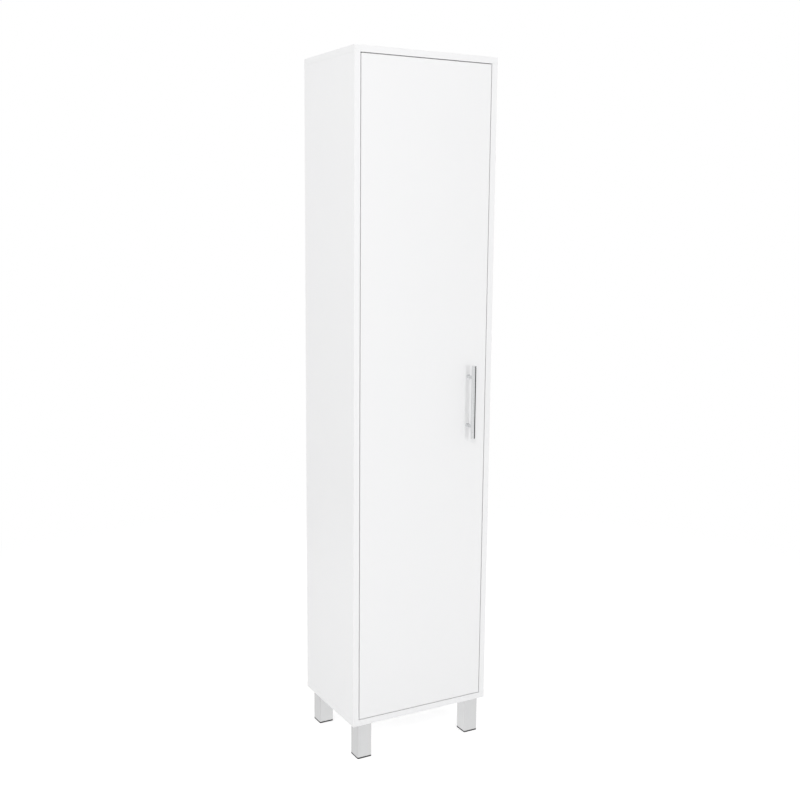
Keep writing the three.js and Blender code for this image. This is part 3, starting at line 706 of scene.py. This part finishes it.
for level, up in (("lower", -1), ("upper", 1)):
    for depth_name in ("front", "back"):
        for side_name, side in (("left", -1), ("right", 1)):
            label = f"{level}_{depth_name}_{side_name}"
            low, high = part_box(f"cam_lock_{label}")
            middle = (low + high) / 2
            at = (high.x if side < 0 else low.x, middle.y, middle.z)
            lock = stamp(cam, f"cam_drum_{label}", facing(at, (0, 0, up), (-side, 0, 0)))
            hand_over(lock, zinc, "case", "fitting_steel", f"cam_lock_{label}")
            dress(f"cam_bolt_{label}", zinc)
bpy.data.objects.remove(cam)

# The handle's bar is a chromed tube closed by a plug at each end. It is worn a little duller where
# hands take it.

chrome, place = new_finish("chrome")
along = place.node("ShaderNodeSeparateXYZ", {0: place}, output="Z")
bar_low, bar_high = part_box("handle_bar")
bar_middle = (bar_low.z + bar_high.z) / 2
from_middle = along.maths("ABSOLUTE", along - bar_middle)
touch_end = 0.085
touch_full = 0.035
touched = place.node(
    "ShaderNodeMapRange",
    {"Value": from_middle, "From Min": touch_end, "From Max": touch_full},
    interpolation_type="SMOOTHSTEP",
)
prints = touched * (place.noise(90.0, 4.0) > 0.56)
hairlines = place.stretched((1.0, 1.0, 0.04)).noise(2400.0, 2.0)
ripple = place.noise(130.0, 2.0)
close_finish(
    place,
    hairlines * 0.15 + ripple * 0.3,
    depth=0.00001,
    Base_Color=ripple.blend((0.69, 0.70, 0.71), (0.73, 0.74, 0.745)),
    Metallic=1.0,
    Roughness=0.05 + 0.05 * hairlines + 0.09 * prints,
)
tube_rim = 0.0016
plug_lip = 0.0003
plug_sink = 0.0004
bar_rounding = 0.0008
bar_radius = (bar_high.x - bar_low.x) / 2
bar_centre = (bar_low + bar_high) / 2
rim_from = bar_radius * 0.99
bpy.ops.object.select_all(action="DESELECT")
bpy.ops.mesh.primitive_cylinder_add(
    vertices=64,
    radius=bar_radius,
    depth=bar_high.z - bar_low.z,
    location=bar_centre,
)
bar = settle("handle_tube")
pick(bar, "FACE", lambda face: abs(face.normal.z) > 0.9)
bpy.ops.mesh.inset(thickness=tube_rim, use_individual=True)
bpy.ops.mesh.inset(thickness=plug_lip, depth=-plug_sink, use_individual=True)
bpy.ops.mesh.inset(thickness=plug_lip, depth=plug_lip, use_individual=True)
bpy.ops.object.mode_set(mode="OBJECT")


def at_bar_rim(end):
    return math.hypot(end.x - bar_centre.x, end.y - bar_centre.y) > rim_from


round_edges(
    bar,
    bar_rounding,
    lambda a, b: at_bar_rim(a) and at_bar_rim(b) and abs(a.z - b.z) < edge_radius,
    steps=4,
)
hand_over(bar, chrome, "door", "handle_chrome", "handle_bar")

# Two turned posts hold the bar off the door. Each has a collar against the door's face and a neck
# that is saddled to the bar, and is pulled tight by a pan-head screw from the door's back.

def pan_screw(name, head, rise, shank, length):
    """A screw whose head stands below z = 0 and whose shank runs up from it, with a cross recess."""
    screw = turn(name, [
        (0.0, -rise), (head * 0.2, -rise), (head * 0.36, -rise * 0.86), (head * 0.45, -rise * 0.58),
        (head * 0.5, -rise * 0.2), (head * 0.5, 0.0), (shank / 2, 0.0),
        (shank / 2, length - shank / 4), (shank / 4, length), (0.0, length),
    ])
    arm, gap, floor_at = head * 0.27, head * 0.06, rise * 0.45
    carve(screw, [
        block("cross", (-arm, -gap, -2 * rise), (arm, gap, -floor_at)),
        block("cross", (-gap, -arm, -2 * rise), (gap, arm, -floor_at)),
    ])
    return screw


door_low, door_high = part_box("door_panel")
collar = 0.0055
collar_rise = 0.002
neck = 0.004
saddle_bite = 0.0002
saddle_cut = 0.04
post_reach = door_low.y - bar_centre.y
stem = turn("handle_post", [
    (0.0, 0.0), (collar, 0.0), (collar, collar_rise - nick), (collar - nick, collar_rise),
    (neck + 4 * nick, collar_rise), (neck + nick, collar_rise + nick), (neck, collar_rise + 4 * nick),
    (neck, post_reach - nick), (0.0, post_reach - nick),
])
saddle = (0.0, -saddle_cut / 2, post_reach)
carve(stem, [bit(saddle, (0, 1, 0), 2 * bar_radius - saddle_bite, saddle_cut, sides=96)])
handle_screw = pan_screw("handle_bolt", head=0.0084, rise=0.0026, shank=0.004, length=0.024)
for level in ("lower", "upper"):
    low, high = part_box(f"handle_post_{level}")
    centre = (low + high) / 2
    at = (centre.x, door_low.y, centre.z)
    post = stamp(stem, f"handle_stem_{level}", facing(at, (1, 0, 0), (0, -1, 0)))
    hand_over(post, chrome, "door", "handle_chrome", f"handle_post_{level}")
    at = (centre.x, door_high.y, centre.z)
    screw = stamp(handle_screw, f"handle_bolt_{level}", facing(at, (1, 0, 0), (0, -1, 0)))
    hand_over(screw, zinc, "door", "fitting_steel", f"handle_screw_{level}")
bpy.data.objects.remove(stem)
bpy.data.objects.remove(handle_screw)

# Three concealed hinges carry the door. On the cupboard's side each has a mounting plate, screwed to
# the left panel, and a pressed arm that clips over it; both are nickel-plated steel.

def clean_copy(name, node, radius):
    """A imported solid's own shape as one skin, with its sharp edges rounded."""
    weld = 0.00001
    flat_within = math.radians(1.0)
    sharp_from = math.radians(40.0)
    source = frame["nodes"][node]
    piece = bpy.data.objects.new(name, source.data.copy())
    bpy.context.collection.objects.link(piece)
    piece.matrix_world = source.matrix_world
    wake(piece)
    settle(name)
    bpy.ops.object.mode_set(mode="EDIT")
    bpy.ops.mesh.select_all(action="SELECT")
    bpy.ops.mesh.remove_doubles(threshold=weld)
    bpy.ops.mesh.dissolve_limited(angle_limit=flat_within)
    bpy.ops.mesh.normals_make_consistent(inside=False)
    bpy.ops.object.mode_set(mode="OBJECT")
    edges = piece.modifiers.new("edges", "BEVEL")
    edges.width = radius
    edges.segments = 2
    edges.limit_method = "ANGLE"
    edges.angle_limit = sharp_from
    bpy.ops.object.modifier_apply(modifier=edges.name)
    return piece


def raised(master, name, rise):
    """A copy of a master piece, with its own mesh, set higher by a rise."""
    return stamp(master, name, Matrix.Translation((0.0, 0.0, rise)))


def joint_place(name):
    """Where the frame has the axis of a joint."""
    return next(Vector(joint["pos_m"]) for joint in frame["joints"] if joint["name"] == name)


plate_low, plate_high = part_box("hinge_1_plate")
arm_low, arm_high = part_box("hinge_1_arm")
lowest_hinge_z = (plate_low.z + plate_high.z) / 2
hinge_rises = {number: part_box(f"hinge_{number}_plate")[0].z - plate_low.z for number in (1, 2, 3)}
plate_sheet = 0.0016
arm_height = 0.0117
rear_screw_inset = 0.009
fore_screw_inset = 0.023
rivet_head = 0.0016
base = clean_copy("hinge_base", "hinge_1_plate", nick)
channel = clean_copy("hinge_channel", "hinge_1_arm", nick)
plate_screw = pan_screw("plate_screw", head=0.0085, rise=0.0019, shank=0.0048, length=0.011)
arm_screw = pan_screw("arm_screw", head=0.007, rise=0.0016, shank=0.004, length=0.004)
rivet = turn("rivet", [
    (0.0, -nick), (rivet_head, -nick), (rivet_head, nick),
    (rivet_head - 2 * nick, 2 * nick), (0.0, 2 * nick),
], sides=32)
for number, rise in hinge_rises.items():
    hinge_z = lowest_hinge_z + rise
    plate = raised(base, f"hinge_{number}_base", rise)
    hand_over(plate, nickel, "case", "hinge_steel", f"hinge_{number}_plate")
    arm = raised(channel, f"hinge_{number}_channel", rise)
    hand_over(arm, nickel, "case", "hinge_steel", f"hinge_{number}_arm")
    for end, label in ((-1, "low"), (1, "high")):
        at = (
            plate_low.x + plate_sheet,
            plate_low.y + plate_screw_inset,
            hinge_z + end * plate_screw_spacing / 2,
        )
        screw = stamp(plate_screw, f"hinge_{number}_plate_screw_{label}", facing(at, (0, 0, 1), (-1, 0, 0)))
        hand_over(screw, zinc, "case", "fitting_steel")
    for label, from_end in (("rear", rear_screw_inset), ("fore", fore_screw_inset)):
        at = (plate_low.x + arm_height, arm_high.y - from_end, hinge_z)
        screw = stamp(arm_screw, f"hinge_{number}_arm_screw_{label}", facing(at, (0, 0, 1), (-1, 0, 0)))
        hand_over(screw, zinc, "case", "fitting_steel")
    for width in ("broad", "narrow"):
        pivot = joint_place(f"{width}_links_swing")
        for cheek_z, tip in ((arm_low.z, -1), (arm_high.z, 1)):
            at = (pivot.x, pivot.y, cheek_z + rise)
            label = f"{width}_{'low' if tip < 0 else 'high'}"
            head = stamp(rivet, f"hinge_{number}_rivet_{label}", facing(at, (1, 0, 0), (0, 0, tip)))
            hand_over(head, nickel, "case", "hinge_steel")
for master in (base, channel, plate_screw, arm_screw, rivet):
    bpy.data.objects.remove(master)

# Two bowed steel links join the arm's nose to the cup: a broad one with two cheeks, and a narrow
# one that swings between them.

link_edge = 0.0002
for width in ("broad", "narrow"):
    lever = clean_copy(f"{width}_lever", f"hinge_1_{width}_link", link_edge)
    for number, rise in hinge_rises.items():
        link = raised(lever, f"hinge_{number}_{width}_lever", rise)
        hand_over(link, nickel, f"{width}_links", "hinge_steel", f"hinge_{number}_{width}_link")
    bpy.data.objects.remove(lever)

# The cup is a drawn steel bowl let into the door's back. Its flange and two ears lie on the door,
# a screw holds each ear, and the links' two pins cross the bowl.

cup_radius = 0.0172
flange = 0.0012
bowl_depth = 0.013
wall = 0.001
bowl = turn("hinge_cup", [
    (0.0, -bowl_depth), (cup_radius - 3 * nick, -bowl_depth), (cup_radius - nick, nick - bowl_depth),
    (cup_radius, 3 * nick - bowl_depth), (cup_radius, 0.0), (rim_radius, 0.0),
    (rim_radius, flange - nick), (rim_radius - nick, flange), (0.0, flange),
], sides=80)
ear_x = 0.0095
ear_radius = 0.006
ear_reach = 0.030
ear_top = flange * 0.9
nearly_round = 0.998
ears = block("ears", (ear_x - ear_radius, -ear_reach, 0.0), (ear_x + ear_radius, ear_reach, flange))
round_edges(ears, ear_radius * nearly_round, lambda a, b: abs(a.z - b.z) > flange / 2, steps=12)
round_edges(ears, nick, lambda a, b: a.z > ear_top and b.z > ear_top, steps=2)
combine(bowl, [ears], "UNION")
inside = cup_radius - wall
hollow = turn("hollow", [
    (0.0, wall - bowl_depth), (inside - 4 * nick, wall - bowl_depth),
    (inside - nick, wall + nick - bowl_depth), (inside, wall + 4 * nick - bowl_depth),
    (inside, flange - 2 * nick), (inside + 4 * nick, flange + 2 * nick), (0.0, flange + 2 * nick),
], sides=80)
ear_hole_spacing = 0.048
ear_hole = 0.004
tools = [hollow]
for end in (-1, 1):
    mouth = (ear_x, end * ear_hole_spacing / 2, flange)
    tools.append(bit(mouth, (0, 0, -1), ear_hole, 2 * flange, sides=24))
carve(bowl, tools)
cup_low, cup_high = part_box("hinge_1_cup")
lowest_seat = Vector((cup_low.x + rim_radius, cup_high.y - flange, lowest_hinge_z))
pin_diameter = 0.0022
pin_step = Vector((-0.00438, -0.00085, 0.0))
broad_pin = joint_place("door_swing")
for pin in (broad_pin, broad_pin + pin_step):
    pin_x = pin.x - lowest_seat.x
    bpy.ops.mesh.primitive_cylinder_add(
        vertices=24,
        radius=pin_diameter / 2,
        depth=2 * math.sqrt((cup_radius - wall / 2) ** 2 - pin_x**2),
        location=(pin_x, 0.0, pin.y - lowest_seat.y),
        rotation=(math.pi / 2, 0.0, 0.0),
    )
    combine(bowl, [settle("axle")], "UNION")
cup_screw = pan_screw("cup_screw", head=0.0068, rise=0.0014, shank=0.0034, length=0.011)
for number, rise in hinge_rises.items():
    seat = lowest_seat + Vector((0.0, 0.0, rise))
    cup = stamp(bowl, f"hinge_{number}_bowl", facing(seat, (1, 0, 0), (0, 1, 0)))
    hand_over(cup, nickel, "door", "hinge_steel", f"hinge_{number}_cup")
    for end, label in ((-1, "low"), (1, "high")):
        at = seat + Vector((ear_x, flange, end * ear_hole_spacing / 2))
        screw = stamp(cup_screw, f"hinge_{number}_cup_screw_{label}", facing(at, (1, 0, 0), (0, -1, 0)))
        hand_over(screw, zinc, "door", "fitting_steel")
bpy.data.objects.remove(bowl)
bpy.data.objects.remove(cup_screw)

# Each leg is a square aluminium tube, brushed along its length and anodised satin. A plug moulded
# round a threaded stud closes its top, and the stud turns into the bottom panel.

aluminium, place = new_finish("brushed_aluminium")
strokes = place.stretched((1.0, 1.0, 0.012)).noise(1900.0, 4.0)
broad_strokes = place.stretched((1.0, 1.0, 0.03)).noise(260.0, 2.0)
haze = place.noise(28.0, 4.0)
close_finish(
    place,
    strokes * 0.8 + broad_strokes * 0.2,
    depth=0.00003,
    Base_Color=(strokes * 0.7 + haze * 0.3).blend((0.45, 0.452, 0.454), (0.56, 0.562, 0.564)),
    Metallic=1.0,
    Roughness=0.30 + 0.12 * strokes + 0.04 * haze,
)
plastic, place = new_finish("black_plastic")
grain = place.noise(1500.0, 3.0)
scuff = place.stretched((1.0, 0.2, 1.0)).noise(160.0, 4.0)
black = grain.blend((0.014, 0.014, 0.015), (0.022, 0.022, 0.023))
close_finish(
    place,
    grain,
    depth=0.00005,
    Base_Color=(scuff > 0.64).blend(black, (0.05, 0.05, 0.05)),
    Roughness=0.50 + 0.2 * grain + 0.1 * scuff,
)
tube_wall = 0.0018
tube_corner = 0.002
burr = 0.0003
tube_low, tube_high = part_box("leg_tube_front_left")
square_tube = block("leg_square_tube", tube_low, tube_high)
round_edges(square_tube, tube_corner, lambda a, b: abs(a.z - b.z) > tube_corner, steps=5)
inset = Vector((tube_wall, tube_wall, -tube_wall))
bore = block("bore", tube_low + inset, tube_high - inset)
round_edges(bore, tube_corner / 2, lambda a, b: abs(a.z - b.z) > tube_corner)
carve(square_tube, [bore])
leg_steps = {}
for depth_name in ("front", "back"):
    for side_name in ("left", "right"):
        label = f"{depth_name}_{side_name}"
        leg_steps[label] = Matrix.Translation(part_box(f"leg_tube_{label}")[0] - tube_low)
        tube = stamp(square_tube, f"leg_square_tube_{label}", leg_steps[label])
        hand_over(tube, aluminium, "case", "leg_aluminium", f"leg_tube_{label}")
        dress(f"leg_stud_{label}", plastic)
bpy.data.objects.remove(square_tube)

# A black plastic cap closes the foot of each leg and spares the floor. Its plate shows as a dark line
# under the tube, and its hollow plug grips inside.

low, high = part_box("leg_foot_front_left")
cap = block("leg_cap", low, (high.x, high.y, tube_low.z))
round_edges(cap, tube_corner, lambda a, b: abs(a.z - b.z) > tube_corner / 2, steps=5)
round_edges(cap, burr, lambda a, b: a.z < burr and b.z < burr, steps=2)
grip = Vector((tube_wall + burr, tube_wall + burr, 0.0))
plug = block("plug", (low.x + grip.x, low.y + grip.y, tube_low.z - burr), high - grip)
round_edges(plug, tube_corner / 2, lambda a, b: abs(a.z - b.z) > tube_corner)
combine(cap, [plug], "UNION")
well = grip + Vector((tube_corner, tube_corner, -burr))
carve(cap, [block("well", (low.x + well.x, low.y + well.y, tube_low.z), high - well)])
for label, step in leg_steps.items():
    foot = stamp(cap, f"leg_cap_{label}", step)
    hand_over(foot, plastic, "case", "black_plastic", f"leg_foot_{label}")
bpy.data.objects.remove(cap)
